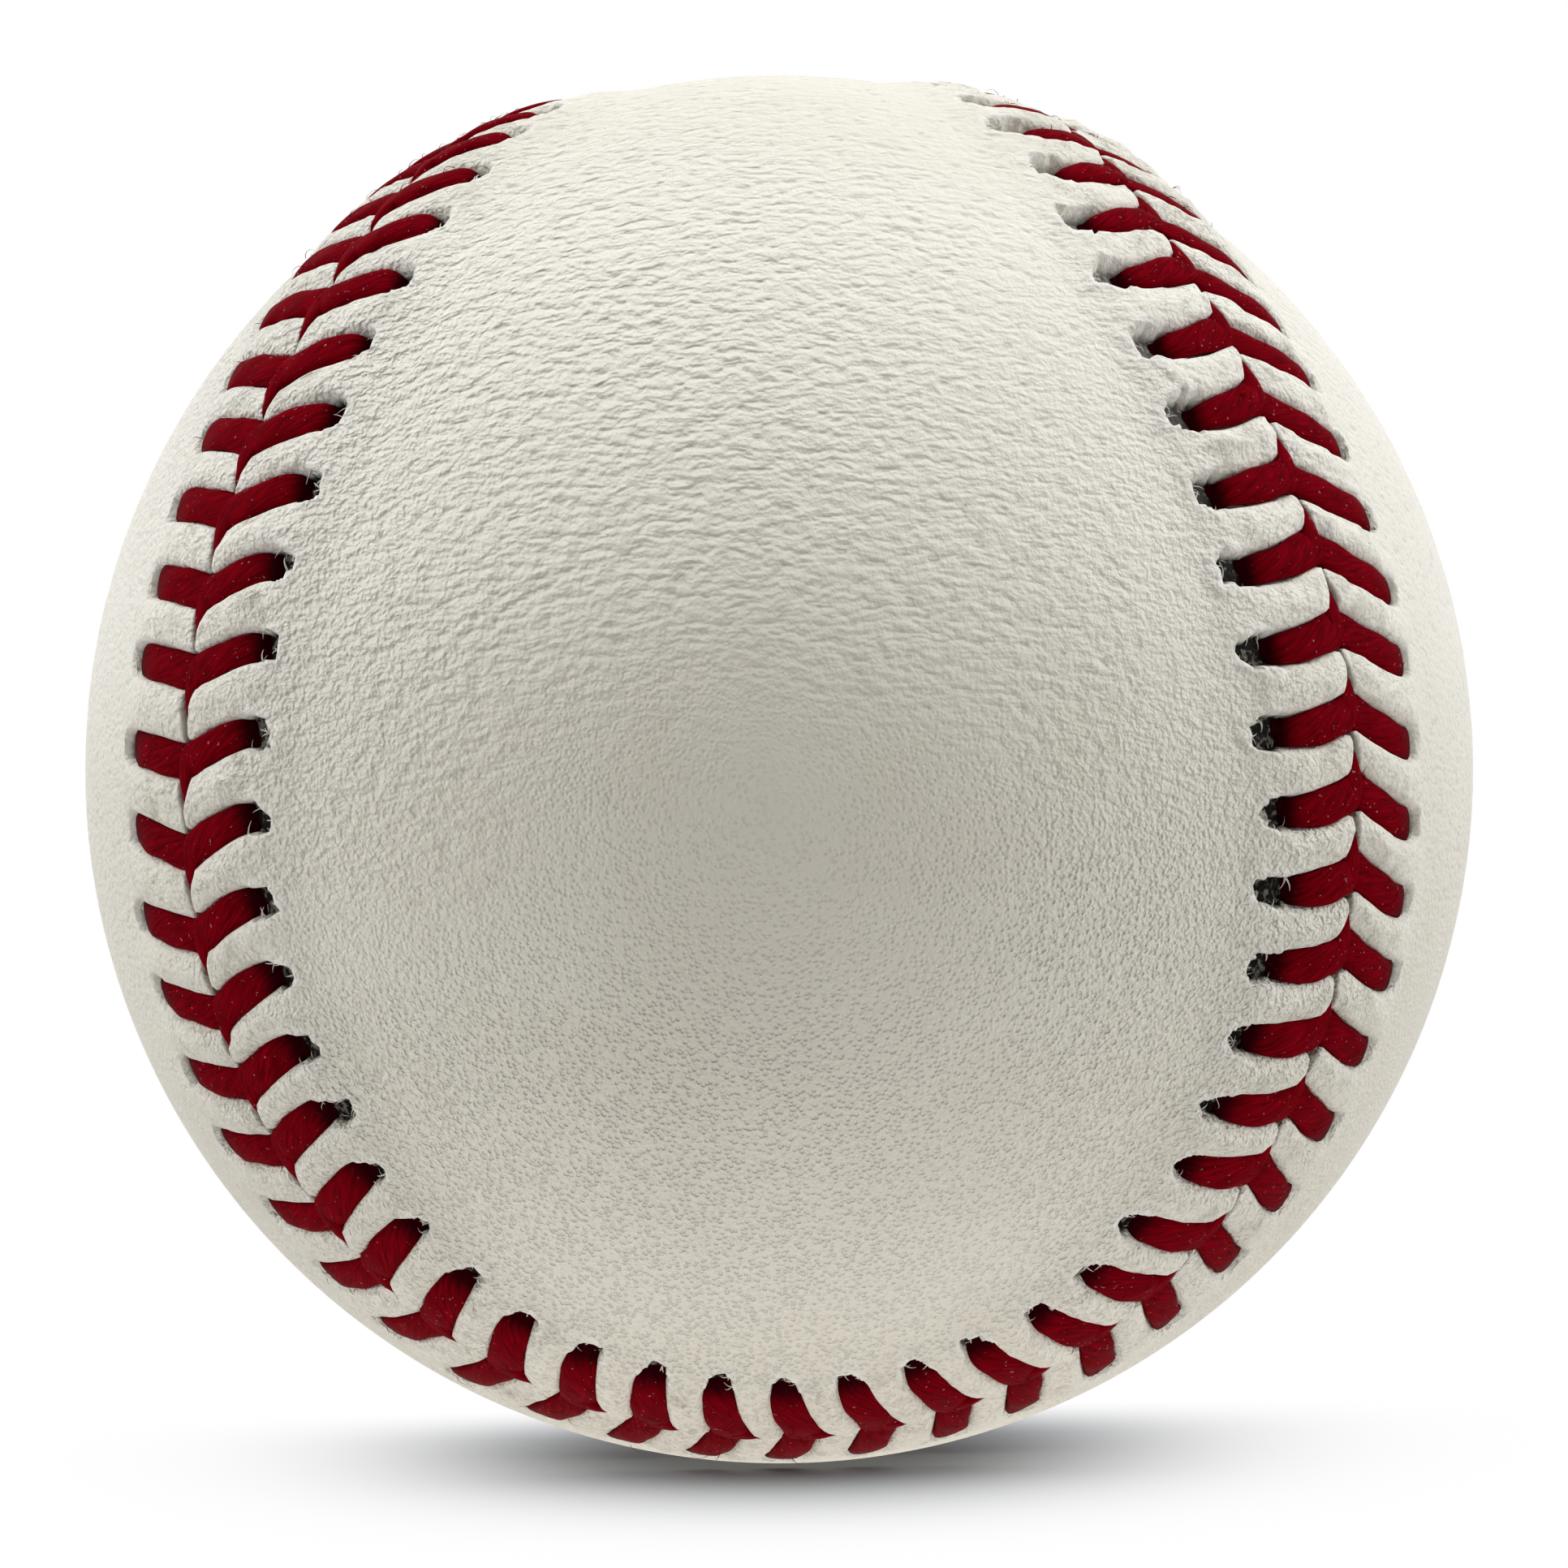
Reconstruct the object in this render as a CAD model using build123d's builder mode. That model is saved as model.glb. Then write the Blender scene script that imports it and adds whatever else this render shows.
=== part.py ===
from build123d import *
from math import cos, pi, sin, sqrt
import os

# A baseball: a cushioned cork centre, four windings, and two leather panels laced with red thread

# Layers from the centre outwards, in millimetres
core_diameter = 20.6
half_shell_wall = 4.0
gasket_thickness = 1.0
red_layer_wall = 2.35
inner_grey_thickness = 14.3
white_wool_thickness = 1.75
outer_grey_thickness = 2.2
cotton_thickness = 0.4
leather_thickness = 1.3
layer_fit = 0.05

# Seam, with the neck as the leather between its two nearest stretches
neck_width = 25.4
stitches_per_quarter = 27
hole_offset = 5.2
hole_margin = 0.5
skirt_width = 3.0
skirt_step = 0.08
edge_round = 0.4

# Waxed thread, which lies flat
thread_width = 1.3
thread_thickness = 0.5
thread_clearance = 0.13
thread_crown = 0.1
side_lead = 0.6

# Radius of each layer, set on the one below it
core_radius = core_diameter / 2
shell_inner = core_radius + layer_fit
shell_outer = shell_inner + half_shell_wall
red_inner = shell_outer + layer_fit
red_outer = red_inner + red_layer_wall
inner_grey_inner = red_outer + layer_fit
inner_grey_outer = inner_grey_inner + inner_grey_thickness
white_wool_inner = inner_grey_outer + layer_fit
white_wool_outer = white_wool_inner + white_wool_thickness
outer_grey_inner = white_wool_outer + layer_fit
outer_grey_outer = outer_grey_inner + outer_grey_thickness
cotton_inner = outer_grey_outer + layer_fit
cotton_outer = cotton_inner + cotton_thickness
cover_inner = cotton_outer + layer_fit
cover_outer = cover_inner + leather_thickness

# Beside the seam the thread runs under the leather, which stands up by the room it takes
seam_lift = thread_thickness + 2 * thread_clearance
seam_gap = thread_thickness + 2 * thread_clearance
lifted_inner = cover_inner + seam_lift
lifted_outer = cover_outer + seam_lift
lifted_middle = (lifted_inner + lifted_outer) / 2
hole_diameter = thread_width + 2 * thread_clearance
tunnel_width = hole_offset + hole_diameter / 2 + hole_margin
lifted_width = tunnel_width + skirt_width
skirt_drop = seam_lift - skirt_step

# The two legs of a stitch go down the seam one behind the other
front_lead = side_lead + thread_width + 2 * thread_clearance
over_radius = lifted_outer + thread_clearance + thread_thickness / 2
under_radius = lifted_inner - thread_clearance - thread_thickness / 2

# The seam repeats four times round the ball, and each quarter holds as many stitches
stitch_count = 4 * stitches_per_quarter

# The seam curve stays on the ball because its two harmonics add up to the radius
first_harmonic = (cover_outer + neck_width / 2) / 2
third_harmonic = (cover_outer - neck_width / 2) / 2
rise_harmonic = 2 * sqrt(first_harmonic * third_harmonic)
seam_samples = 48

# Six corners of the flat thread, across its width and its thickness
thread_corners = ((1, 0), (0.5, 1), (-0.5, 1), (-1, 0), (-0.5, -1), (0.5, -1))


def hollow_ball(outer_radius, inner_radius):
    """Adds a ball with a hollow in its middle to the piece that is being built."""
    Sphere(outer_radius)
    Sphere(inner_radius, mode=Mode.SUBTRACT)


def seam_curve(offset, radius):
    """Closed curve beside the seam, at an arc distance into the front panel, on a ball of that radius."""
    points = []
    for sample in range(seam_samples):
        turn = 2 * pi * sample / seam_samples
        outward = Vector(
            first_harmonic * cos(turn) - third_harmonic * cos(3 * turn),
            first_harmonic * sin(turn) + third_harmonic * sin(3 * turn),
            rise_harmonic * cos(2 * turn),
        ).normalized()
        along = Vector(
            -first_harmonic * sin(turn) + 3 * third_harmonic * sin(3 * turn),
            first_harmonic * cos(turn) + 3 * third_harmonic * cos(3 * turn),
            -2 * rise_harmonic * sin(2 * turn),
        ).normalized()
        lean = offset / cover_outer
        points.append((outward * cos(lean) + outward.cross(along) * sin(lean)) * radius)
    return Edge.make_spline(points, periodic=True)


def seam_wall(offset):
    """Wall through the leather that follows the seam at an arc distance into the front panel."""
    below = seam_curve(offset, cover_inner - leather_thickness)
    above = seam_curve(offset, lifted_outer + leather_thickness)
    return Face.make_surface_from_curves(below, above)


seam = seam_curve(0, cover_outer)
stitch_pitch = seam.length / stitch_count


def seam_directions(distance, offset):
    """Directions outwards, along the seam and into the front panel, at a place beside the seam."""
    share = (distance / seam.length) % 1
    on_seam = seam.position_at(share).normalized()
    along = seam.tangent_at(share)
    lean = offset / cover_outer
    outward = on_seam * cos(lean) + on_seam.cross(along) * sin(lean)
    return outward, along, outward.cross(along)


def seam_place(distance, offset, radius):
    """Point at a distance along the seam, an arc distance into the front panel and a radius."""
    return seam_directions(distance, offset)[0] * radius


def thread_section(distance, offset, radius, upward, inward):
    """Corners of the thread where its thickness points upward and inward by the given shares."""
    outward, along, across = seam_directions(distance, offset)
    thick = (outward * upward + across * inward) * (thread_thickness / 2)
    wide = along * (thread_width / 2)
    return [outward * radius + wide * x + thick * y for x, y in thread_corners]


def lacing(first_side):
    """Sections of one thread: up a hole, over the leather, down the seam and under the other panel."""
    sections = []
    side = first_side
    for stitch in range(stitch_count):
        start = stitch * stitch_pitch
        dive = start + (front_lead if side > 0 else side_lead)
        middle = (start + dive) / 2
        sections += [
            thread_section(start, side * hole_offset, over_radius, side, 1),
            thread_section(middle, side * hole_offset / 2, over_radius + thread_crown, side, 0),
            thread_section(dive, 0, over_radius, side, -1),
            thread_section(dive, 0, under_radius, side, -1),
            thread_section(start + stitch_pitch, -side * hole_offset, under_radius, side, 1),
        ]
        side = -side
    # The last run under the leather is left out, because the thread's two ends are hidden there
    return sections[:-1]


def triangle(*corners):
    """Flat facet between three corners."""
    return Face(Wire.make_polygon(corners, close=True))


def faceted_thread(sections):
    """Closed solid of flat facets between neighbouring sections, with a cap at each end."""
    facets = [Face(Wire.make_polygon(end, close=True)) for end in (sections[0], sections[-1])]
    for here, there in zip(sections, sections[1:]):
        for corner in range(len(here)):
            facets.append(triangle(here[corner - 1], here[corner], there[corner]))
            facets.append(triangle(here[corner - 1], there[corner], there[corner - 1]))
    return Solid(Shell(facets))


# The cushioned cork centre
with BuildPart() as cork_core:
    Sphere(core_radius)

with BuildPart() as upper_rubber_shell:
    hollow_ball(shell_outer, shell_inner)
    split(bisect_by=Plane.XY.offset(gasket_thickness / 2 + layer_fit), keep=Keep.TOP)

with BuildPart() as lower_rubber_shell:
    mirror(upper_rubber_shell.part, about=Plane.XY)

with BuildPart() as rubber_gasket:
    hollow_ball(shell_outer, shell_inner)
    split(bisect_by=Plane.XY.offset(gasket_thickness / 2), keep=Keep.BOTTOM)
    split(bisect_by=Plane.XY.offset(-gasket_thickness / 2), keep=Keep.TOP)

with BuildPart() as red_rubber_layer:
    hollow_ball(red_outer, red_inner)

# The windings
with BuildPart() as inner_grey_winding:
    hollow_ball(inner_grey_outer, inner_grey_inner)

with BuildPart() as white_wool_winding:
    hollow_ball(white_wool_outer, white_wool_inner)

with BuildPart() as outer_grey_winding:
    hollow_ball(outer_grey_outer, outer_grey_inner)

with BuildPart() as cotton_winding:
    hollow_ball(cotton_outer, cotton_inner)

# The front panel is cut from a ball whose poles lie under the other panel, which keeps its faces plain
panel_poles = Plane((0, 0, 0), x_dir=(0, 0, -1), z_dir=(1, 0, 0))
in_seam_gap = seam_place(0, 0, (cover_inner + cover_outer) / 2)
between_holes = seam_place(stitch_pitch / 2, tunnel_width / 2, lifted_middle)

stitch_holes = []
for stitch in range(stitch_count):
    outward = seam_directions(stitch * stitch_pitch, hole_offset)[0]
    stitch_holes.append(Plane(outward * lifted_middle, z_dir=outward))

# The lifted leather along the seam, with the holes punched in it
with BuildPart() as lifted_band:
    with Locations(panel_poles):
        hollow_ball(lifted_outer, lifted_inner)
    with Locations(*stitch_holes):
        Cylinder(hole_diameter / 2, 2 * leather_thickness, mode=Mode.SUBTRACT)
    for border in (seam_gap / 2, lifted_width):
        split(bisect_by=seam_wall(border), keep=Keep.ALL)
        add(lifted_band.solids().filter_by(lambda solid: solid.is_inside(between_holes)), mode=Mode.REPLACE)

# The field of the panel, which lies on the windings and takes the lifted band at its border
with BuildPart() as front_cover:
    with Locations(panel_poles):
        hollow_ball(cover_outer, cover_inner)
    split(bisect_by=seam_wall(tunnel_width), keep=Keep.ALL)
    add(front_cover.solids().filter_by(lambda solid: not solid.is_inside(in_seam_gap)), mode=Mode.REPLACE)
    add(lifted_band.part, clean=False)
    top_face = front_cover.faces().filter_by(GeomType.SPHERE).sort_by(lambda face: face.radius)[-1]
    skirt_rim, seam_rim = top_face.edges().sort_by(SortBy.LENGTH)[-2:]
    chamfer(skirt_rim, skirt_width, skirt_drop, reference=top_face)
    fillet(front_cover.edges().sort_by_distance(seam_rim.position_at(0.5))[0], edge_round)

# Both panels are punched with one die, and half a turn about this line lays one into the other
panel_swap = Axis((0, 0, 0), (1, 1, 0))
with BuildPart() as side_cover:
    add(front_cover.part.rotate(panel_swap, 180), clean=False)

# The two threads take turns: where one lies over the front panel, the other lies over the side panel
with BuildPart() as first_thread:
    add(faceted_thread(lacing(1)), clean=False)

with BuildPart() as second_thread:
    add(faceted_thread(lacing(-1)), clean=False)

pieces = {
    "cork_core": cork_core,
    "lower_rubber_shell": lower_rubber_shell,
    "upper_rubber_shell": upper_rubber_shell,
    "rubber_gasket": rubber_gasket,
    "red_rubber_layer": red_rubber_layer,
    "inner_grey_winding": inner_grey_winding,
    "white_wool_winding": white_wool_winding,
    "outer_grey_winding": outer_grey_winding,
    "cotton_winding": cotton_winding,
    "front_cover": front_cover,
    "side_cover": side_cover,
    "first_thread": first_thread,
    "second_thread": second_thread,
}
os.makedirs("parts", exist_ok=True)
for name, piece in pieces.items():
    piece.part.label = name
    export_step(piece.part, f"parts/{name}.step")

print(f"ball {2 * cover_outer:.2f} mm across, seam {seam.length:.1f} mm, stitch pitch {stitch_pitch:.3f} mm")
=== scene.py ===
import bpy
import numpy as np
from mathutils import Matrix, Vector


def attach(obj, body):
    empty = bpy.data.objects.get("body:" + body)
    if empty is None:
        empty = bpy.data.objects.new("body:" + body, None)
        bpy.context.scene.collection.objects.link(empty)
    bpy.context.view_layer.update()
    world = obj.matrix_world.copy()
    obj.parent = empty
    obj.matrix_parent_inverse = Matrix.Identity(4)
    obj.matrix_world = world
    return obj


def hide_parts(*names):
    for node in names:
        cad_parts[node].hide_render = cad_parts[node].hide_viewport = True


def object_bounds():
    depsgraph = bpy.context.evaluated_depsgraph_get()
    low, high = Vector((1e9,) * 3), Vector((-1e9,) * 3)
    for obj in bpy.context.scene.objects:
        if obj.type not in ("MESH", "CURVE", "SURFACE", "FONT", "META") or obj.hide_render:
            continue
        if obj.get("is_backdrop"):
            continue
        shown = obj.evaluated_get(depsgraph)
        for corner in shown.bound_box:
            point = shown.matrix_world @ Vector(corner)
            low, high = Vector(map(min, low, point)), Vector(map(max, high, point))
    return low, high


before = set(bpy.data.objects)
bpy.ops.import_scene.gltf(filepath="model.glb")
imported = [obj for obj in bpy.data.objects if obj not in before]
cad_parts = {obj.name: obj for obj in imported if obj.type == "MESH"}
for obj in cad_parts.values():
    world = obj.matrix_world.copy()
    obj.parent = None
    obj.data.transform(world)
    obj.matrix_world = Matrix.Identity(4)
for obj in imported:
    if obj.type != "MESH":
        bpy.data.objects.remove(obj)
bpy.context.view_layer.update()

# Sizes of the ball in millimetres
MM = 0.001
ball_radius = 36.95
neck_width = 25.4
stitch_count = 108
cover_inner = 35.65
lifted_inner = 36.41
lifted_width = 6.4

# Panel grid: columns along the seam, and where the finely divided border ends
columns_per_stitch = 20
coarse_step = 4
border_width = 10.0
legs_end = 6.6
spine_reach = np.radians(110)
lattice_rows = 64

# Stitches
leg_thickness = 0.62
groove_wall = 0.46
leg_cover = 0.29
hole_past_foot = 0.30
side_foot = 5.9
side_foot_share = 0.97
side_leg_drop = 0.12
side_tail = 1.0
side_pit_length = 0.85
side_pit_share = 0.42
# How dark the side panel's stitch holes are painted: painted shade
side_pit_shade = 0.85
welt_height = 0.80
groove_floor = -0.28
pit_floor = -0.44
lip_height = 0.08

chance = np.random.default_rng(27)

# The seam

first_harmonic = (ball_radius + neck_width / 2) / 2
third_harmonic = (ball_radius - neck_width / 2) / 2
rise_harmonic = 2 * np.sqrt(first_harmonic * third_harmonic)


def unit(vectors):
    """Vectors divided by their own length."""
    return vectors / np.linalg.norm(vectors, axis=-1, keepdims=True)


def seam_point(turn):
    """A first and a third harmonic in X and Y and a second in Z, which keeps the curve on the ball."""
    return np.stack([
        first_harmonic * np.cos(turn) - third_harmonic * np.cos(3 * turn),
        first_harmonic * np.sin(turn) + third_harmonic * np.sin(3 * turn),
        rise_harmonic * np.cos(2 * turn),
    ], axis=-1)


def seam_slope(turn):
    """Derivative of the seam curve."""
    return np.stack([
        -first_harmonic * np.sin(turn) + 3 * third_harmonic * np.sin(3 * turn),
        first_harmonic * np.cos(turn) + 3 * third_harmonic * np.cos(3 * turn),
        -2 * rise_harmonic * np.sin(2 * turn),
    ], axis=-1)


seam_turns = np.linspace(0, 2 * np.pi, 20001)
seam_steps = np.linalg.norm(np.diff(seam_point(seam_turns), axis=0), axis=1)
seam_runs = np.concatenate([[0], np.cumsum(seam_steps)])
seam_length = seam_runs[-1]
stitch_pitch = seam_length / stitch_count


def seam_turn(distance):
    """Parameter of the seam curve at a distance along it."""
    return np.interp(distance % seam_length, seam_runs, seam_turns)


def ramp(low, high, value):
    """Smooth step from 0 at low to 1 at high."""
    share = np.clip((value - low) / (high - low), 0, 1)
    return share * share * (3 - 2 * share)


def round_the_seam(turn_degrees, values, turn):
    """Values given at a few turns of the seam, joined all the way round."""
    return np.interp(np.degrees(turn) % 360, np.array(turn_degrees), np.array(values), period=360)


def seam_wander(turn):
    """How far the sewn seam strays from its drawn line, into the front panel."""
    return round_the_seam((-180, -165, -150, -138, -130, -104, -79, -56, -47, -37, -30, -20, 0, 90),
                          (0.6, 0.8, 0.8, 0.25, 0.0, -0.3, -0.3, -0.6, -0.2, 0.6, 0.9, 0.7, 0.2, 0.0), turn)


def seam_frame(distance, offset):
    """Directions outwards and away into the front panel, at a place beside the sewn seam."""
    turn = seam_turn(distance)
    outward = unit(seam_point(turn))
    across = np.cross(outward, unit(seam_slope(turn)))
    strayed = offset + seam_wander(turn) * (1 - ramp(lifted_width, border_width, np.abs(offset)))
    lean = (strayed / ball_radius)[..., None]
    return outward * np.cos(lean) + across * np.sin(lean), across * np.cos(lean) - outward * np.sin(lean)


def beside_seam(distance, offset, height):
    """Point at a distance along the seam, an arc distance into the front panel and a height over the ball."""
    return seam_frame(distance, offset)[0] * (ball_radius + height)[..., None]


def ripple(along, across, cell, seed):
    """Smooth noise from -1 to 1: random values on a square lattice that closes on itself along the seam."""
    count = int(round(seam_length / cell))
    lattice = np.random.default_rng(seed).uniform(-1, 1, (count, lattice_rows))
    u = (along / seam_length * count) % count
    v = across / cell + lattice_rows / 2
    column = np.floor(u).astype(int)
    row = np.floor(v).astype(int)
    a = ramp(0, 1, u - column)
    b = ramp(0, 1, v - row)

    def corner(step, rise):
        """Random value at one corner of the lattice cell round each point."""
        return lattice[(column + step) % count, (row + rise) % lattice_rows]

    left = corner(0, 0) * (1 - b) + corner(0, 1) * b
    right = corner(1, 0) * (1 - b) + corner(1, 1) * b
    return left * (1 - a) + right * a


# Where each stitch lies

even_start = np.arange(stitch_count) * stitch_pitch
even_turn = seam_turn(even_start)
start_drift = stitch_pitch * round_the_seam(
    (-180, -148, -138, -127, -111, -97, -85, -60, -48, -24, 0, 45, 90, 140),
    (0.35, 0.28, 0.12, 0.2, -0.04, 0.12, 0.05, -0.22, -0.42, -0.62, -0.52, -0.18, 0.15, 0.33), even_turn)
stitch_start = even_start + start_drift
stitch_turn = seam_turn(stitch_start)
front_lead = round_the_seam((-180, -160, -146, -130, -104, -83, -72, -60, -43, -30, 0, 90),
                            (0.6, 0.55, 1.2, 1.6, 1.4, 0.5, 0.45, 0.6, 1.0, 1.2, 1.1, 1.0), stitch_turn)
side_shift = round_the_seam((-180, -152, -133, -111, -94, -80, -55, -40, 0, 90),
                            (-0.7, -0.65, 0.65, 1.2, -0.15, -1.1, -0.95, -0.75, -0.7, -0.7), stitch_turn)
side_vertex = round_the_seam((-180, -143, -130, -111, -94, -72, -58, -45, -35, 0, 90),
                             (-0.3, -0.3, 0.1, 0.1, -0.2, 0.15, 0.6, 0.2, -0.3, -0.3, 0.0), stitch_turn)
tail_run = round_the_seam((-180, -135, -95, -60, -40, 0, 90),
                          (2.3, 2.2, 1.8, 2.1, 2.0, 1.9, 2.0), stitch_turn)
wrinkling = round_the_seam((-180, -135, -90, -60, -40, 0, 90),
                           (1.0, 1.0, 0.8, 1.4, 2.0, 1.8, 1.2), stitch_turn)
seam_opening = round_the_seam((-180, -135, -90, -45, 0, 90),
                              (0.08, 0.07, 0.10, 0.12, 0.10, 0.10), stitch_turn)
notch_depth = round_the_seam((-180, -60, -45, -30, 0, 90), (0.62, 0.62, 0.5, 0.3, 0.3, 0.5), stitch_turn)
leg_power = round_the_seam((-180, -110, -80, -45, 0, 90), (1.25, 1.25, 1.4, 1.8, 1.6, 1.4), stitch_turn)
front_foot = round_the_seam((-180, -165, -150, -130, -90, -66, -50, -40, -24, 0, 90),
                            (4.0, 3.9, 4.3, 4.0, 4.7, 4.0, 3.8, 4.4, 3.8, 4.2, 4.4), stitch_turn)
front_pit_end = round_the_seam((-180, -165, -150, -130, -95, -66, -45, -24, 0, 90),
                               (5.4, 5.3, 5.6, 6.1, 6.6, 5.9, 6.6, 6.1, 6.1, 6.1), stitch_turn)
leg_raise = round_the_seam((-180, -165, -148, -135, -60, -40, -25, 0, 90),
                           (0.22, 0.25, 0.18, 0.0, 0.0, 0.1, 0.18, 0.16, 0.12), stitch_turn)
upper_welt = round_the_seam((-180, -165, -150, -135, 0, 90), (0.75, 0.75, 0.85, 1.0, 1.0, 1.0), stitch_turn)
front_pit_half = round_the_seam((-180, -60, -40, -25, 0, 90), (0.8, 0.76, 0.85, 0.95, 0.9, 0.8), stitch_turn)
# How dark the front panel's stitch holes are painted, round the seam: painted shade
front_pit_shade = round_the_seam((-180, -55, -35, -20, 0, 90), (1.0, 1.0, 0.7, 0.55, 0.6, 0.9), stitch_turn)
front_leg_width = round_the_seam((-180, -165, -150, -135, -115, -60, -45, -30, 0, 90),
                                 (1.8, 1.85, 1.75, 1.55, 1.85, 1.85, 1.7, 1.65, 1.6, 1.65), stitch_turn)
front_foot_share = round_the_seam((-180, -135, -110, -80, -60, -40, 0, 90),
                                  (0.9, 0.92, 0.97, 0.97, 0.84, 0.8, 0.8, 0.85), stitch_turn)
side_leg_width = round_the_seam((-180, -75, -55, -40, -25, 0, 90),
                                (1.8, 1.75, 1.65, 1.65, 1.65, 1.6, 1.65), stitch_turn)
low_welt = round_the_seam((-180, -135, -105, -80, -55, 90), (1.0, 1.0, 0.6, 0.6, 1.0, 1.0), stitch_turn)

foot_across = {
    1: front_foot + chance.normal(0, 0.12, stitch_count),
    -1: side_foot + chance.normal(0, 0.14, stitch_count),
}
pit_end = {
    1: front_pit_end + chance.normal(0, 0.14, stitch_count),
    -1: foot_across[-1] + side_pit_length + chance.normal(0, 0.10, stitch_count),
}
hole_across = {side: foot_across[side] + hole_past_foot for side in (1, -1)}
hole_along = {
    1: stitch_start + chance.normal(0, 0.07, stitch_count),
    -1: stitch_start + side_shift + chance.normal(0, 0.08, stitch_count),
}
vertex_along = hole_along[1] + front_lead + chance.normal(0, 0.08, stitch_count)
leg_lead = {
    1: vertex_along - hole_along[1],
    -1: vertex_along + side_vertex - hole_along[-1],
}
leg_width = {1: front_leg_width, -1: side_leg_width}
pit_half = {1: front_pit_half, -1: side_pit_share * side_leg_width}
pit_shade = {1: front_pit_shade, -1: np.full(stitch_count, side_pit_shade)}
pillow_swell = {side: 1 + chance.normal(0, 0.08, stitch_count) for side in (1, -1)}
pillow_swell[1] *= upper_welt
pillow_swell[-1] *= low_welt * upper_welt


# Leather panels

roll_angles = np.radians([0, 25, 50, 72, 90])
edge_roll = 0.24
top_rows = np.concatenate([
    np.array([0.5, 0.75, 1.05, 1.4, 1.75, 2.1, 2.5, 2.9, 3.3, 3.6]),
    np.arange(3.8, 7.3, 0.2),
    np.array([7.5, 8.1, 8.9, border_width]),
])
column_gaps = np.array([0, 0.36, 0.52, 0.62, 0.71, 0.80, 0.90, 1.05, 1.30, 1.60])
column_shares = np.concatenate([column_gaps / stitch_pitch, [0.5], 1 - column_gaps[:0:-1] / stitch_pitch])
fine_count = stitch_count * columns_per_stitch
column_stitch = np.repeat(np.arange(stitch_count), columns_per_stitch)
column_share = np.tile(column_shares, stitch_count)
even_columns = np.arange(fine_count) * seam_length / fine_count


def leg_line(stitch, across, side):
    """Place along the seam of a leg's centre line: its lead times a power of its share of the way in."""
    hole = hole_across[side][stitch]
    share = np.clip((hole - across) / hole, 0, 1)
    return hole_along[side][stitch] + leg_lead[side][stitch] * share ** leg_power[stitch]


def columns_along(across, side):
    """Places along the seam of all columns: they follow the legs and are even where the border ends."""
    following = (column_stitch + 1) % stitch_count
    here = leg_line(column_stitch, across, side)
    there = leg_line(following, across, side) + np.where(following == 0, seam_length, 0)
    evened = ramp(legs_end, border_width, across)
    return (here + (there - here) * column_share) * (1 - evened) + even_columns * evened


def seam_gap(along, place):
    """Shortest way along the closed seam from a place to each point."""
    return (along - place + seam_length / 2) % seam_length - seam_length / 2


def border_relief(along, across, near, side):
    """Height of the leather beside the seam, and each place's share of pit, leg groove, welt and torn lip.

    Each place takes the nearest leg. Its distance from that leg's centre line makes a steep groove between
    two swelled pillows, the welt falls away from the seam, and an oval pit lies where the leg comes out.
    """
    nearest = np.full(along.shape, 1e9)
    pit = np.zeros(along.shape)
    swell = np.ones(along.shape)
    ending = np.zeros(along.shape)
    pucker = np.zeros(along.shape)
    lip = np.zeros(along.shape)
    ragged = 1 + 0.16 * ripple(along, across, 0.5, 5 + side) + 0.14 * ripple(along, across, 0.25, 7 + side)
    for neighbour in (-1, 0, 1, 2):
        stitch = (near + neighbour) % stitch_count
        hole = hole_across[side][stitch]
        gap = seam_gap(along, leg_line(stitch, across, side))
        share = np.clip((hole - across) / hole, 0, 1)
        power = leg_power[stitch]
        slope = leg_lead[side][stitch] * power * share ** (power - 1) / hole
        gap = gap / np.sqrt(1 + slope ** 2)
        past = np.maximum(across - hole, 0)
        distance = np.hypot(gap, past)
        distance = distance - (leg_width[side][stitch] / 2 - leg_cover)
        swell = np.where(distance < nearest, pillow_swell[side][stitch], swell)
        ending = np.where(distance < nearest, ramp(hole - 0.1, hole + 0.8, across), ending)
        nearest = np.minimum(nearest, distance)
        middle = 0.5 * (hole - 0.8 + pit_end[side][stitch])
        reach = pit_end[side][stitch] - middle
        half = pit_half[side][stitch]
        oval = (np.abs(gap / half) ** 2.6 + np.abs((across - middle) / reach) ** 2.6) ** (1 / 2.6) / ragged
        pit = np.maximum(pit, 1 - ramp(0.80, 1.04, oval))
        lip = np.maximum(lip, np.exp(-((oval - 1.2) / 0.16) ** 2) * ramp(hole - 0.4, hole + 0.3, across))
        pucker = np.maximum(pucker, np.exp(-(gap / 0.8) ** 2) * (1 - ramp(0, 3.0, past)) * (across > hole))
    groove = 1 - ramp(0, groove_wall, nearest)
    dome = 0.76 + 0.24 * ramp(0.6 * groove_wall, 1.25, nearest)
    welt = 1 - ramp(3.4, 8.6, across)
    crown = 0.84 + 0.16 * ramp(0.1, 1.6, across)
    lumps = 0.06 * ripple(along, across, 1.3, 11 + side) + 0.05 * ripple(along, across, 0.6, 17 + side)
    top = (welt_height * swell * dome + lumps * wrinkling[near % stitch_count]) * welt * crown
    bottom = groove_floor * (1 - ending) + top * 0.55 * ending
    height = top * (1 - groove) + bottom * groove - 0.10 * pucker * welt + lip_height * lip
    return height * (1 - pit) + pit_floor * pit, pit, groove, welt, lip * (1 - pit)


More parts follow.
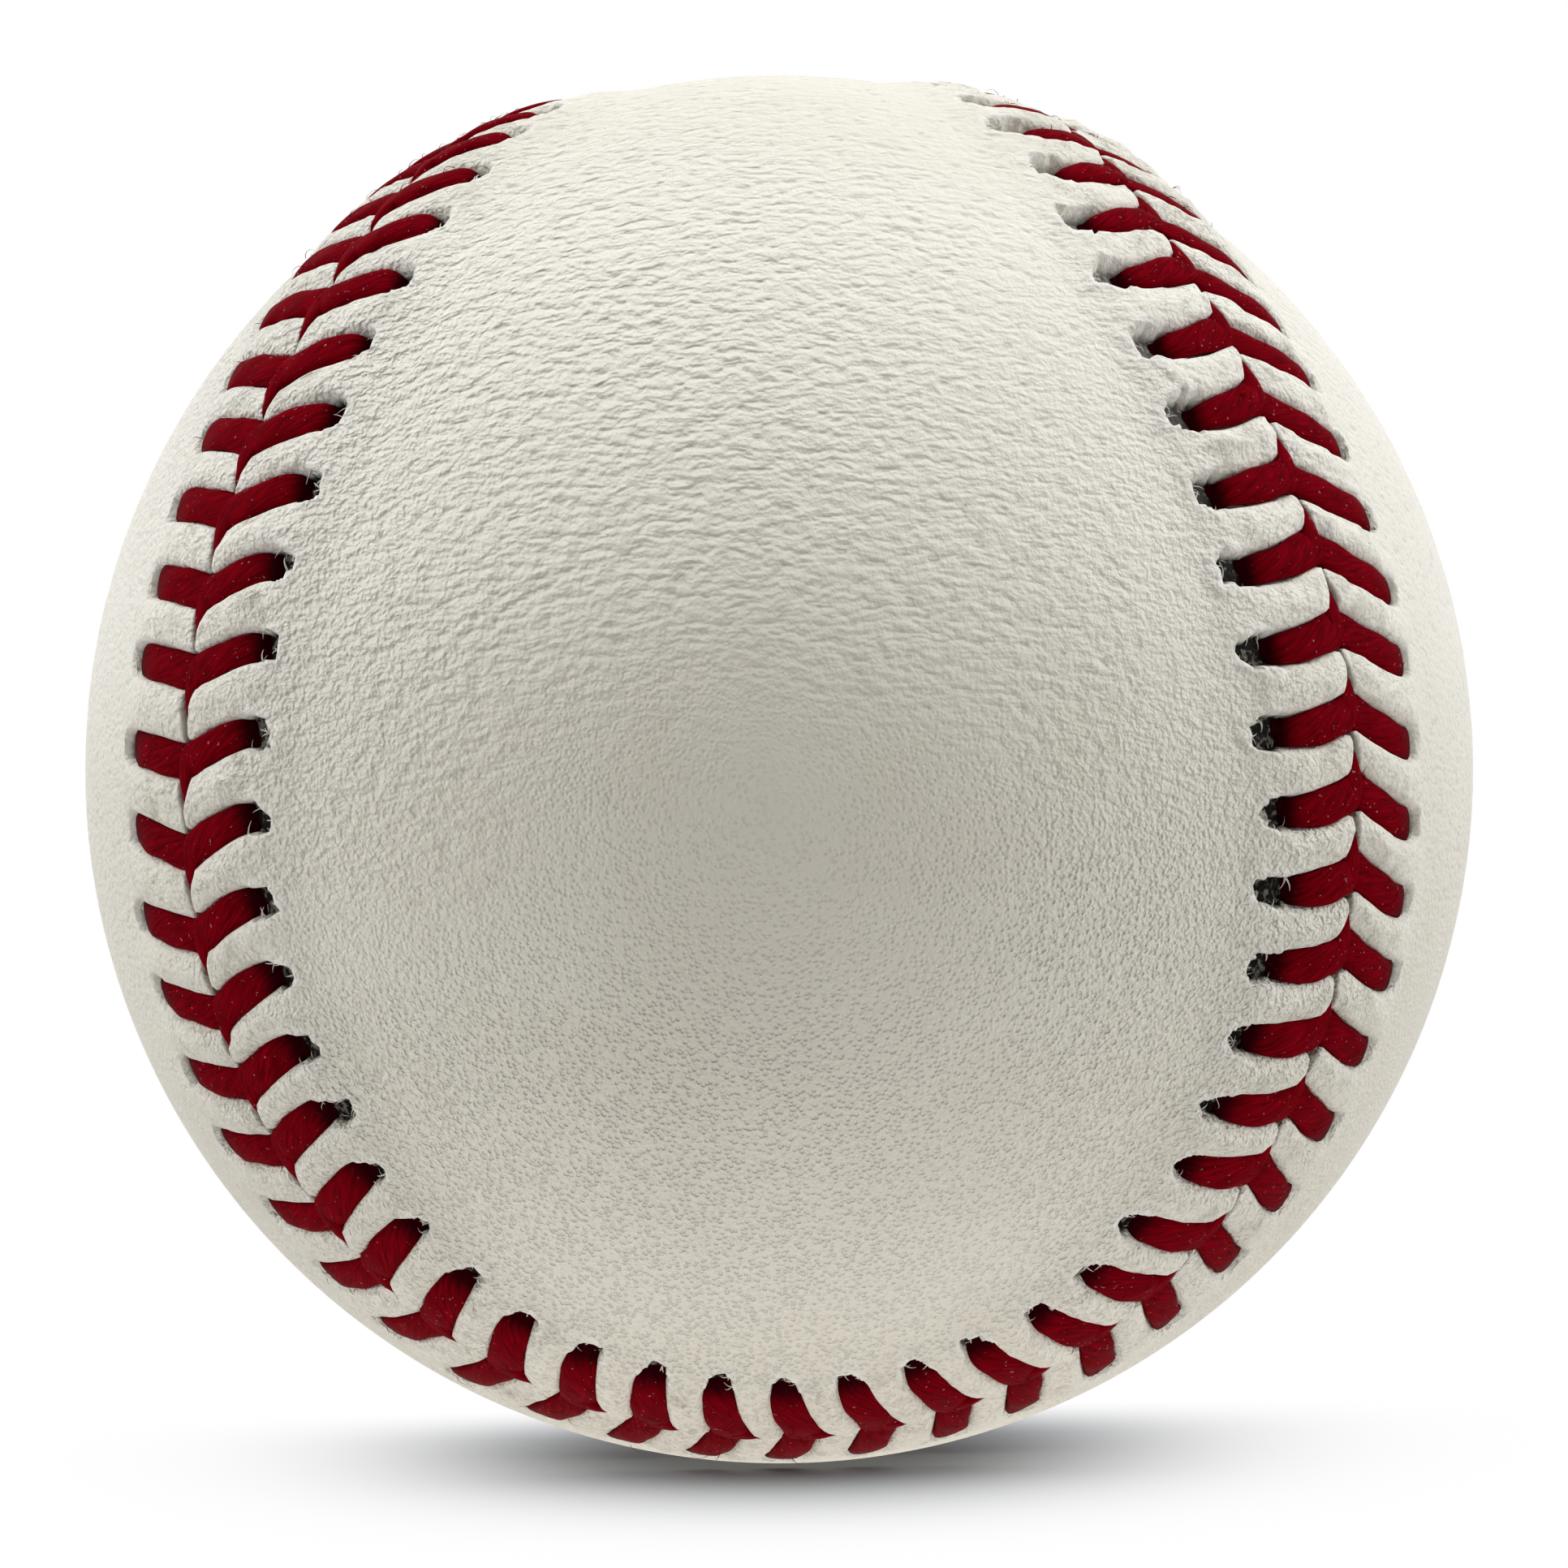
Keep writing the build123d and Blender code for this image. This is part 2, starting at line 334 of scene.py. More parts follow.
def panel_edge(along, side):
    """Distance of the cut edge from the seam: it gives way to each leg and to the tail behind it."""
    probe = np.full(fine_count, 0.3)
    edge_groove = border_relief(along, probe, column_stitch, side)[2]
    notch = np.zeros(fine_count)
    for neighbour in (-1, 0, 1):
        stitch = (column_stitch + neighbour) % stitch_count
        past = seam_gap(along, vertex_along[stitch])
        wedge = np.clip(1.05 - past / tail_run[stitch], 0, 1) * ramp(-1.0, -0.4, past)
        notch = np.maximum(notch, notch_depth[stitch] * wedge)
    opening = np.interp(along % seam_length, stitch_start, seam_opening, period=seam_length)
    edge = opening + np.maximum(0.36 * edge_groove, notch) + 0.05 * ripple(along, probe, 0.7, 23 + side)
    return np.maximum(edge, 0.04)


def panel(name, side):
    """One figure-eight panel: a cut edge, a rolled rim, the stitched border, the field and the inside.

    It runs from the middle of the inside round the cut edge to the middle of the outside. In the border the
    columns follow the legs of the stitches. Beyond it, coarse columns run on great circles to a line along
    the panel's middle, where each meets its mirror image.
    """
    flat = np.zeros(fine_count)
    edge = panel_edge(columns_along(flat + 0.3, side), side)
    rim = edge + edge_roll
    along = columns_along(rim, side)
    rim_height = border_relief(along, rim, column_stitch, side)[0]
    inner_height = flat + lifted_inner - ball_radius

    rows, masks = [], []
    for share in (0, 0.5):
        height = inner_height + (rim_height - edge_roll - inner_height) * share
        rows.append(beside_seam(along, side * edge, height))
        masks.append((flat, flat + 1, flat + 1, flat))
    for angle in roll_angles:
        height = rim_height - edge_roll * (1 - np.sin(angle))
        rows.append(beside_seam(along, side * (edge + edge_roll * (1 - np.cos(angle))), height))
        cut = 1 - ramp(0.2, 0.9, np.sin(angle))
        # Painted highlight along the rolled rim
        pale = ramp(0.5, 0.8, np.sin(angle)) * (1 - ramp(0.97, 1.0, np.sin(angle)))
        masks.append((flat, flat + cut, flat + 1, flat + pale))
    for across in top_rows:
        place = across + rim * (1 - ramp(0.5, 3.0, across))
        along = columns_along(place, side)
        height, pit, groove, welt, lip = border_relief(along, place, column_stitch, side)
        rows.append(beside_seam(along, side * place, height))
        # Masks: painted shade in the stitch holes, and a painted highlight on the torn lip round them
        masks.append((pit * pit_shade[side][column_stitch], flat, welt, lip))
    fine_points = np.concatenate(rows)
    fine_masks = np.concatenate([np.stack(mask, axis=1) for mask in masks])
    row_count = len(rows)

    coarse_count = fine_count // coarse_step
    coarse = even_columns[::coarse_step]
    turn = seam_turn(coarse)
    start = unit(beside_seam(coarse, np.full(coarse_count, side * border_width), 0 * coarse))
    if side > 0:
        lean = spine_reach * np.sin(turn)
        spine = np.stack([0 * lean, np.sin(lean), np.cos(lean)], axis=1)
        partner = (coarse_count // 2 - np.arange(coarse_count)) % coarse_count
    else:
        lean = spine_reach * np.cos(turn)
        spine = np.stack([np.sin(lean), 0 * lean, -np.cos(lean)], axis=1)
        partner = -np.arange(coarse_count) % coarse_count
    sweep = np.arccos(np.clip(np.sum(start * spine, axis=1), -1, 1))[:, None]

    def towards_spine(share, radius):
        """Great circle from the border to the panel's middle line."""
        blend = np.sin((1 - share) * sweep) * start + np.sin(share * sweep) * spine
        return blend / np.sin(sweep) * radius

    field_shares = np.linspace(0, 1, 12)[1:]
    inner_shares = np.linspace(0, 1, 5)[1:]
    field = [towards_spine(share, ball_radius) for share in field_shares]
    inside_steps = ((3.0, lifted_inner), (lifted_width, lifted_inner),
                    (7.0, cover_inner), (border_width, cover_inner))
    inside = [
        beside_seam(coarse, np.full(coarse_count, side * across), np.full(coarse_count, radius - ball_radius))
        for across, radius in inside_steps
    ]
    inside += [towards_spine(share, cover_inner) for share in inner_shares]
    points = np.concatenate([fine_points] + field + inside)
    plain = np.zeros((coarse_count * (len(field) + len(inside)), 4))
    points_masks = np.concatenate([fine_masks, plain])

    def quads(lower, upper):
        """Four-sided faces between two closed rows of equal length."""
        return np.stack([lower, np.roll(lower, -1), np.roll(upper, -1), upper], axis=1)

    def fans(fine_row, coarse_row):
        """Faces with several short edges on the fine row and one long edge on the coarse row."""
        runs = fine_row.reshape(-1, coarse_step)
        last = np.roll(runs[:, 0], -1)
        return np.column_stack([runs, last, np.roll(coarse_row, -1), coarse_row])

    fine_rows = np.arange(row_count * fine_count).reshape(row_count, fine_count)
    first = row_count * fine_count
    coarse_rows = first + np.arange(coarse_count * (len(field) + len(inside))).reshape(-1, coarse_count)
    meeting = np.minimum(np.arange(coarse_count), partner)
    for row in (len(field) - 1, len(field) + len(inside) - 1):
        coarse_rows[row] = coarse_rows[row][meeting]
    field_rows = coarse_rows[:len(field)]
    inside_rows = coarse_rows[len(field):]
    outward_faces = [quads(a, b) for a, b in zip(fine_rows, fine_rows[1:])]
    outward_faces += [fans(fine_rows[-1], field_rows[0])]
    outward_faces += [quads(a, b) for a, b in zip(field_rows, field_rows[1:])]
    inward_faces = [fans(fine_rows[0], inside_rows[0])]
    inward_faces += [quads(a, b) for a, b in zip(inside_rows, inside_rows[1:])]
    faces = []
    for group in outward_faces:
        faces += (group if side > 0 else group[:, ::-1]).tolist()
    for group in inward_faces:
        faces += (group[:, ::-1] if side > 0 else group).tolist()
    used = np.zeros(len(points), dtype=bool)
    used[np.concatenate([coarse_rows.ravel(), fine_rows.ravel()])] = True
    renumber = np.cumsum(used) - 1
    faces = [[int(renumber[corner]) for corner in face] for face in faces]
    mask_names = ("pit", "cut_edge", "welt", "painted_highlight")
    named = {mask: points_masks[used, column] for column, mask in enumerate(mask_names)}
    return new_piece(name, points[used], faces, named)


# Threads

around = 14
leg_steps = 5


def thread(name, first_side):
    """One thread all the way round: up a hole, over the leather, down the seam and under the other panel.

    Points beside the seam are joined by a smooth spline, and a flat oval of two twisted plies is carried
    along it.
    """
    order = np.arange(stitch_count)
    side = np.where(order % 2 == 0, first_side, -first_side)
    front = side > 0
    foot = np.where(front, foot_across[1], foot_across[-1])
    vertex = np.where(front, leg_line(order, 0.0, 1), leg_line(order, 0.0, -1))
    over = np.where(front, 0.0, -side_leg_drop) + leg_raise
    tail = np.where(front, tail_run, side_tail)
    full_width = np.where(front, leg_width[1], leg_width[-1])
    under = (lifted_inner + cover_inner) / 2 - ball_radius
    next_foot = np.roll(foot, -1)
    knots = []

    def knot(along, across, height, width, thickness, upward, inward):
        """Control point: place, width and thickness, and how the thickness leans up and to the front."""
        values = (along, side * across, height, width, thickness, side * upward, inward)
        knots.append(np.stack([value + 0.0 * order for value in values], axis=1))

    def leg_knot(share, height, width, thickness, upward=1.0, inward=0.0):
        """Control point on a leg, at a share of its way out from the seam."""
        across = foot * share
        along = np.where(front, leg_line(order, across, 1), leg_line(order, across, -1))
        knot(along, across, height, width, thickness, upward, inward)

    hole = np.where(front, leg_line(order, foot, 1), leg_line(order, foot, -1))
    foot_width = full_width * np.where(front, front_foot_share, side_foot_share)
    knot(hole, foot + hole_past_foot, under, 0.85 * foot_width, 0.5, -0.7, 1.0)
    knot(hole, foot + 0.16, under + 0.45, 0.94 * foot_width, 0.7, 0.0, 1.0)
    leg_knot(0.95, over - 0.04, foot_width, 0.62, 0.8, 0.6)
    leg_knot(0.72, over + 0.20, 0.5 * (full_width + foot_width), leg_thickness)
    leg_knot(0.48, over + 0.28, full_width, leg_thickness)
    leg_knot(0.24, over + 0.27, full_width, leg_thickness)
    leg_knot(0.06, over + 0.20, full_width, leg_thickness * 0.95)
    knot(vertex + 0.30 * tail, 0.0, over + 0.22, 1.20, 0.58, 1.0, -0.1)
    knot(vertex + 0.62 * tail, 0.0, over + 0.20, 0.70, 0.50, 1.0, -0.1)
    knot(vertex + 0.92 * tail, -0.02, over + 0.06, 0.34, 0.40, 1.0, -0.2)
    knot(vertex + 1.10 * tail, -0.40, under, 0.5, 0.4, 1.0, -0.3)
    knot(vertex + 1.15 * tail, -0.5 * next_foot, under, 1.0, 0.5, 1.0, 0.0)
    control = np.stack(knots, axis=1).reshape(-1, 7)
    before = np.roll(control, 1, axis=0)
    before[0, 0] -= seam_length
    after = np.roll(control, -1, axis=0)
    after[-1, 0] += seam_length
    later = np.roll(control, -2, axis=0)
    later[-2:, 0] += seam_length
    share = (np.arange(leg_steps) / leg_steps)[None, :, None]
    c0, c1, c2, c3 = (c[:, None, :] for c in (before, control, after, later))
    path = 0.5 * (2 * c1 + (c2 - c0) * share + (2 * c0 - 5 * c1 + 4 * c2 - c3) * share ** 2
                  + (3 * c1 - c0 - 3 * c2 + c3) * share ** 3)
    path = path.reshape(-1, 7)
    centre = beside_seam(path[:, 0], path[:, 1], path[:, 2])
    forward = unit(np.roll(centre, -1, axis=0) - np.roll(centre, 1, axis=0))
    outward, across = seam_frame(path[:, 0], path[:, 1])
    lean = outward * path[:, 5:6] + across * path[:, 6:7]
    thick = unit(lean - np.sum(lean * forward, axis=1, keepdims=True) * forward)
    wide = np.cross(forward, thick)
    run = np.concatenate([[0], np.cumsum(np.linalg.norm(np.diff(centre, axis=0), axis=1))])
    angle = np.arange(around) * 2 * np.pi / around
    ply = 1 + 0.05 * np.cos(2 * (angle[None, :] - run[:, None] * 2 * np.pi / 6.0))
    x = np.sign(np.cos(angle)) * np.abs(np.cos(angle)) ** 0.8
    y = np.sign(np.sin(angle)) * np.abs(np.sin(angle)) ** 0.7
    points = (centre[:, None, :] + wide[:, None, :] * (x * ply * path[:, 3:4] / 2)[..., None]
              + thick[:, None, :] * (y * ply * path[:, 4:5] / 2)[..., None])
    ring = np.arange(len(centre) * around).reshape(len(centre), around)
    ring_on = np.roll(ring, -1, axis=0)
    quads = np.stack([ring, np.roll(ring, -1, axis=1), np.roll(ring_on, -1, axis=1), ring_on], axis=-1)
    lay = np.repeat(run, around)
    turn = np.tile(angle / (2 * np.pi), len(centre))
    depth = np.repeat(path[:, 2], around)
    named = {"lay": lay, "turn": turn, "depth": depth}
    return new_piece(name, points.reshape(-1, 3), quads.reshape(-1, 4).tolist(), named)


# Torn leather and broken fibres

strands_per_hole = 9
hairs_per_leg = 6
strand_steps = np.linspace(0, 1, 5)


def strand(along, across, height, heading, length, lift, side):
    """Centre lines that run straight away from their starts and follow a parabola in height."""
    t = strand_steps[None, :]
    path_along = along[:, None] + (length * np.sin(heading))[:, None] * t
    path_across = across[:, None] + (length * np.cos(heading))[:, None] * t
    path_height = height[:, None] + (length * lift)[:, None] * (t - 0.9 * t * t)
    return beside_seam(path_along, side * path_across, path_height)


def strand_piece(name, centre, width, named):
    """Tapering three-sided strands along their centre lines."""
    width = width[:, None] * (1 - 0.8 * strand_steps[None, :])
    forward = unit(np.gradient(centre, axis=1))
    sideways = unit(np.cross(forward, unit(centre)))
    upright = np.cross(sideways, forward)
    angle = np.arange(3) * 2 * np.pi / 3
    corners = (sideways[:, :, None, :] * np.cos(angle)[:, None]
               + upright[:, :, None, :] * np.sin(angle)[:, None])
    points = centre[:, :, None, :] + width[..., None, None] * corners
    count, steps = width.shape
    ring = np.arange(count * steps * 3).reshape(count, steps, 3)
    here, there = ring[:, :-1], ring[:, 1:]
    sides = np.stack([here, there, np.roll(there, -1, axis=2), np.roll(here, -1, axis=2)], axis=-1)
    faces = sides.reshape(-1, 4).tolist() + ring[:, 0].tolist() + ring[:, -1, ::-1].tolist()
    values = {mask: np.full(count * steps * 3, value) for mask, value in named.items()}
    return new_piece(name, points.reshape(-1, 3), faces, values)


def torn_fibres(name):
    """Strands of torn leather round the stitch holes: each leaves a rim, rises and bends over its hole."""
    draw = np.random.default_rng(41)
    centres, widths = [], []
    stitch = np.repeat(np.arange(stitch_count), strands_per_hole)
    for side in (1, -1):
        bearing = draw.uniform(-2.0, 2.0, len(stitch))
        length = draw.uniform(0.20, 0.70, len(stitch))
        heading = bearing + np.pi + draw.normal(0, 0.8, len(stitch))
        lift = draw.uniform(0.3, 0.9, len(stitch))
        middle = 0.5 * (hole_across[side][stitch] - 0.8 + pit_end[side][stitch])
        reach = pit_end[side][stitch] - middle
        along = hole_along[side][stitch] + 0.72 * np.sin(bearing)
        across = middle + reach * np.cos(bearing)
        height = border_relief(along, across, stitch, side)[0] - 0.05
        centres.append(strand(along, across, height, heading, length, lift, side))
        widths.append(draw.uniform(0.025, 0.06, len(stitch)))
    return strand_piece(name, np.concatenate(centres), np.concatenate(widths), {})


def thread_fuzz(name):
    """Broken thread fibres that stand off the legs of the stitches, mostly near the seam."""
    draw = np.random.default_rng(43)
    centres, widths = [], []
    stitch = np.repeat(np.arange(stitch_count), hairs_per_leg)
    for side, drop in ((1, 0.0), (-1, side_leg_drop)):
        raised = 0.26 - drop + leg_raise[stitch]
        across = foot_across[side][stitch] * draw.uniform(0, 1, len(stitch)) ** 1.5 * 0.9
        sideways = draw.uniform(-0.95, 0.95, len(stitch))
        along = leg_line(stitch, across, side) + 0.5 * leg_width[side][stitch] * sideways
        height = raised + 0.5 * leg_thickness * np.sqrt(1 - sideways ** 2)
        heading = draw.uniform(-np.pi, np.pi, len(stitch))
        length = draw.uniform(0.25, 0.8, len(stitch))
        lift = draw.uniform(0.5, 1.3, len(stitch))
        centres.append(strand(along, across, height, heading, length, lift, side))
        widths.append(draw.uniform(0.014, 0.028, len(stitch)))
    named = {"lay": 0.0, "turn": 0.4, "depth": 0.4}
    return strand_piece(name, np.concatenate(centres), np.concatenate(widths), named)


def new_piece(name, points, faces, named):
    """Mesh object at the origin, smooth shaded, with a value per point for each named mask."""
    mesh = bpy.data.meshes.new(name)
    mesh.from_pydata((points * MM).tolist(), [], faces)
    mesh.shade_smooth()
    for mask, values in named.items():
        attribute = mesh.attributes.new(mask, "FLOAT", "POINT")
        attribute.data.foreach_set("value", values.astype(np.float32))
    piece = bpy.data.objects.new(name, mesh)
    bpy.context.collection.objects.link(piece)
    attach(piece, "root")
    return piece


# Materials


class Nodes:
    """Short ways to add nodes to one tree and link them."""

    def __init__(self, tree):
        self.tree = tree

    def add(self, kind, settings=None, **inputs):
        """New node with its settings, its inputs given as numbers, colours or other nodes' outputs."""
        node = self.tree.nodes.new(kind)
        for name, value in (settings or {}).items():
            setattr(node, name, value)
        for name, value in inputs.items():
            self.set(node, name.replace("_", " "), value)
        return node

    def set(self, node, name, value):
        """One input of a node, by its name or its place."""
        socket = node.inputs[int(name)] if name.isdigit() else node.inputs[name]
        if isinstance(value, bpy.types.NodeSocket):
            self.tree.links.new(value, socket)
        else:
            socket.default_value = value

    def math(self, operation, first, second=0.0):
        """Result of one sum on values."""
        node = self.tree.nodes.new("ShaderNodeMath")
        node.operation = operation
        self.set(node, "0", first)
        self.set(node, "1", second)
        return node.outputs[0]

    def vector(self, operation, first, second):
        """Result of one sum on vectors, or of a scaling."""
        node = self.tree.nodes.new("ShaderNodeVectorMath")
        node.operation = operation
        self.set(node, "0", first)
        self.set(node, "Scale" if operation == "SCALE" else "1", second)
        return node.outputs["Value" if operation in ("DOT_PRODUCT", "LENGTH") else "Vector"]

    def mix(self, share, first, second):
        """Colour between two colours."""
        node = self.tree.nodes.new("ShaderNodeMix")
        node.data_type = "RGBA"
        self.set(node, "0", share)
        self.set(node, "6", first)
        self.set(node, "7", second)
        return node.outputs[2]

    def span(self, value, low, high, new_low=0.0, new_high=1.0, smooth=True):
        """Value moved from one range to another and kept inside it."""
        node = self.tree.nodes.new("ShaderNodeMapRange")
        node.interpolation_type = "SMOOTHSTEP" if smooth else "LINEAR"
        for place, number in (("0", value), ("1", low), ("2", high), ("3", new_low), ("4", new_high)):
            self.set(node, place, number)
        return node.outputs[0]

    def mask(self, name):
        """Value per point that the mesh carries."""
        return self.add("ShaderNodeAttribute", {"attribute_name": name}).outputs["Fac"]

    def noise(self, vector, scale, detail=2.0, rough=0.5, distortion=0.0):
        """Cloudy noise around one half."""
        node = self.add("ShaderNodeTexNoise", Vector=vector, Scale=scale, Detail=detail, Roughness=rough,
                        Distortion=distortion)
        return node.outputs["Fac"]

    def place(self):
        """Place on the object."""
        return self.add("ShaderNodeTexCoord").outputs["Object"]

    def part(self, vector, axis):
        """One part of a vector, by the name of its axis."""
        return self.add("ShaderNodeSeparateXYZ", Vector=vector).outputs[axis]

    def bell(self, value):
        """Bell curve of a value, 1 at nought."""
        square = self.math("MULTIPLY", value, value)
        return self.math("EXPONENT", self.math("MULTIPLY", square, -1.0))

    def bump(self, shader, strength, distance, height):
        """Bump on a shader, from a height."""
        node = self.add("ShaderNodeBump", Strength=strength, Distance=distance, Height=height)
        self.set(shader, "Normal", node.outputs[0])


def new_material(name, base, roughness, specular=0.5):
    """Material with its own Principled shader, and the helper for its nodes."""
    material = bpy.data.materials.new(name)
    material.use_nodes = True
    tree = material.node_tree
    shader = tree.nodes["Principled BSDF"]
    shader.inputs["Base Color"].default_value = (*base, 1)
    shader.inputs["Roughness"].default_value = roughness
    shader.inputs["Specular IOR Level"].default_value = specular
    return material, Nodes(tree), shader


def leather_grain_group():
    """Leather grain: soft level ridges, and round pores elsewhere, as a height and a mask of painted shade in
    the hollows.
    """
    group = bpy.data.node_groups.new("leather_grain", "ShaderNodeTree")
    group.interface.new_socket("Vector", in_out="INPUT", socket_type="NodeSocketVector")
    group.interface.new_socket("Ridge Share", in_out="INPUT", socket_type="NodeSocketFloat")
    group.interface.new_socket("Height", in_out="OUTPUT", socket_type="NodeSocketFloat")
    group.interface.new_socket("Dent Shade", in_out="OUTPUT", socket_type="NodeSocketFloat")
    n = Nodes(group)
    source = group.nodes.new("NodeGroupInput")
    sink = group.nodes.new("NodeGroupOutput")
    vector = source.outputs["Vector"]
    share = source.outputs["Ridge Share"]
    rest = n.math("SUBTRACT", 1.0, share)
    wander = n.add("ShaderNodeTexNoise", Vector=vector, Scale=650.0, Detail=1.0).outputs["Color"]
    wander = n.vector("SCALE", n.vector("SUBTRACT", wander, (0.5, 0.5, 0.5)), 0.0005)
    warped = n.vector("ADD", vector, wander)
    stretched = n.add("ShaderNodeMapping", Vector=warped, Scale=(0.50, 0.50, 1.0)).outputs[0]
    ridges = n.noise(stretched, 2600.0, 1.0, 0.4)
    folds = n.noise(stretched, 1200.0, 1.0, 0.5)
    pebbles = n.math("POWER", n.span(ridges, 0.26, 0.74, 0.0, 0.95, False), 0.7)
    ridged = n.math("ADD", pebbles, n.math("MULTIPLY", folds, 0.35))
    dots = n.add("ShaderNodeTexVoronoi", Vector=vector, Scale=4200.0).outputs["Distance"]
    swells = n.noise(vector, 4200.0, 1.0, 0.5)
    pored = n.span(dots, 0.12, 0.56, 0.0, 0.4)
    beside = n.span(n.math("ABSOLUTE", n.part(vector, "X")), 0.008, 0.022)
    aside = n.span(beside, 0.0, 1.0, 0.45, 1.45, False)
    fine = n.noise(vector, 6500.0, 1.0, 0.6)
    height = n.math("ADD", n.math("MULTIPLY", ridged, share), n.math("MULTIPLY", pored, rest))
    height = n.math("ADD", height, n.math("MULTIPLY", swells, aside))
    height = n.math("ADD", height, n.math("MULTIPLY", fine, 0.14))
    pores = n.span(dots, 0.12, 0.44, 1.0, 0.0)
    # Painted shade: darker in the hollows between ridges and pebbles, and in the pores
    ridge_shade = n.math("MULTIPLY", n.span(ridges, 0.27, 0.38, 0.5, 0.0), share)
    pebble_shade = n.math("MULTIPLY", n.span(swells, 0.28, 0.41, 0.6, 0.0), n.math("MULTIPLY", beside, share))
    patchy = n.math("MULTIPLY", n.span(n.noise(vector, 420.0, 2.0), 0.35, 0.65, 0.10, 0.50),
                    n.span(n.part(vector, "Z"), -0.025, -0.006, 0.12, 1.0))
    pore_shade = n.math("MULTIPLY", n.math("MULTIPLY", pores, rest), patchy)
    group.links.new(height, sink.inputs["Height"])
    dent_shade = n.math("ADD", n.math("MAXIMUM", ridge_shade, pebble_shade), pore_shade)
    group.links.new(dent_shade, sink.inputs["Dent Shade"])
    return group


def leather():
    """Off-white leather: grain, faint blotches, grey smudges on the welt, raw cut edges, painted light and
    shade.
    """
    material, n, shader = new_material("white_leather", (0.85, 0.83, 0.76), 0.55, 0.2)
    place = n.place()
    height = n.part(place, "Z")
    sideways = n.part(place, "X")
    pit, cut, welt, pale = n.mask("pit"), n.mask("cut_edge"), n.mask("welt"), n.mask("painted_highlight")
    spread = n.math("SUBTRACT", n.math("MULTIPLY", n.math("ABSOLUTE", sideways), 0.33),
                    n.math("MULTIPLY", sideways, 0.08))
    patches = n.math("MULTIPLY", n.math("SUBTRACT", n.noise(place, 60.0), 0.5), 0.014)
    creased = n.span(n.math("ADD", n.math("ADD", height, spread), patches), -0.011, 0.003)
    grain = n.add("ShaderNodeGroup", {"node_tree": leather_grain_group()}, Vector=place)
    n.set(grain, "Ridge Share", creased)
    blotch = n.noise(place, 90.0, 3.0, 0.6)
    plain = n.mix(n.span(blotch, 0.35, 0.7), (0.89, 0.87, 0.80, 1), (0.86, 0.836, 0.76, 1))
    # Painted light: a band round the upper part of the ball is lighter, as if lit from above
    painted_upper_light = n.math("MULTIPLY", n.span(height, -0.006, 0.005), n.span(height, 0.018, 0.029, 1.0, 0.0))
    tone = n.mix(painted_upper_light, plain, (0.96, 0.94, 0.88, 1))
    # Painted shade in the hollows of the grain
    tone = n.mix(n.math("MULTIPLY", grain.outputs["Dent Shade"], 0.5), tone, (0.50, 0.47, 0.41, 1))
    smudge = n.math("MULTIPLY", n.span(n.noise(place, 480.0, 4.0, 0.65), 0.50, 0.73), welt)
    tone = n.mix(n.math("MULTIPLY", smudge, 0.55), tone, (0.50, 0.49, 0.42, 1))
    specks = n.math("MULTIPLY", n.span(n.noise(place, 3200.0, 2.0, 0.7), 0.58, 0.70), welt)
    tone = n.mix(n.math("MULTIPLY", specks, 0.4), tone, (0.42, 0.40, 0.35, 1))
    hair = n.math("ABSOLUTE", n.math("SUBTRACT", n.noise(place, 700.0, 3.0, 0.6), 0.5))
    hair = n.math("MULTIPLY", n.span(hair, 0.004, 0.018, 1.0, 0.0),
                  n.span(n.noise(place, 300.0, 1.0), 0.44, 0.56))
    tone = n.mix(n.math("MULTIPLY", n.math("MULTIPLY", hair, welt), 0.45), tone, (0.33, 0.31, 0.27, 1))
    # Painted highlight on the rolled rim and on the torn lip round each stitch hole
    tone = n.mix(n.math("MULTIPLY", pale, 0.8), tone, (0.95, 0.94, 0.91, 1))
    fibres = n.noise(place, 5200.0, 3.0, 0.7)
    raw = n.mix(fibres, (0.36, 0.33, 0.28, 1), (0.66, 0.62, 0.55, 1))
    tone = n.mix(cut, tone, raw)
    # Painted shade in the stitch holes: near black, with grey patches
    torn = n.span(n.noise(place, 2400.0, 2.0, 0.6), 0.50, 0.64)
    hole_shade = n.mix(torn, (0.005, 0.004, 0.003, 1), (0.22, 0.20, 0.17, 1))
    tone = n.mix(n.span(pit, 0.2, 0.85), tone, hole_shade)
    n.set(shader, "Base Color", tone)
    n.set(shader, "Roughness", n.math("ADD", n.span(grain.outputs["Height"], 0.2, 1.1, 0.68, 0.50, False),
                                      n.math("MULTIPLY", pit, 0.3)))
    limb = n.span(n.math("ABSOLUTE", sideways), 0.024, 0.034, 1.0, 0.5)
    depth = n.span(sideways, -0.020, 0.020, n.span(height, 0.004, 0.018, 0.71, 1.0), 0.45)
    low = n.span(height, -0.020, -0.012, 0.25, 0.0)
    low_right = n.math("MULTIPLY", n.span(sideways, 0.004, 0.014), n.span(height, -0.012, 0.0, 0.42, 0.0))
    depth = n.math("MULTIPLY", n.math("ADD", depth, n.math("MAXIMUM", low, low_right)), limb)
    strength = n.math("MULTIPLY", n.span(welt, 0.0, 0.9, 1.0, 0.9), depth)
    n.bump(shader, strength, 0.00024, grain.outputs["Height"])
    return material


def torn_leather():
    """Pale raw fibres, from white to light grey."""
    material, n, shader = new_material("torn_leather", (0.80, 0.78, 0.73), 0.9, 0.1)
    place = n.place()
    tone = n.mix(n.noise(place, 700.0, 2.0), (0.55, 0.52, 0.47, 1), (0.88, 0.87, 0.83, 1))
    n.set(shader, "Base Color", tone)
    return material


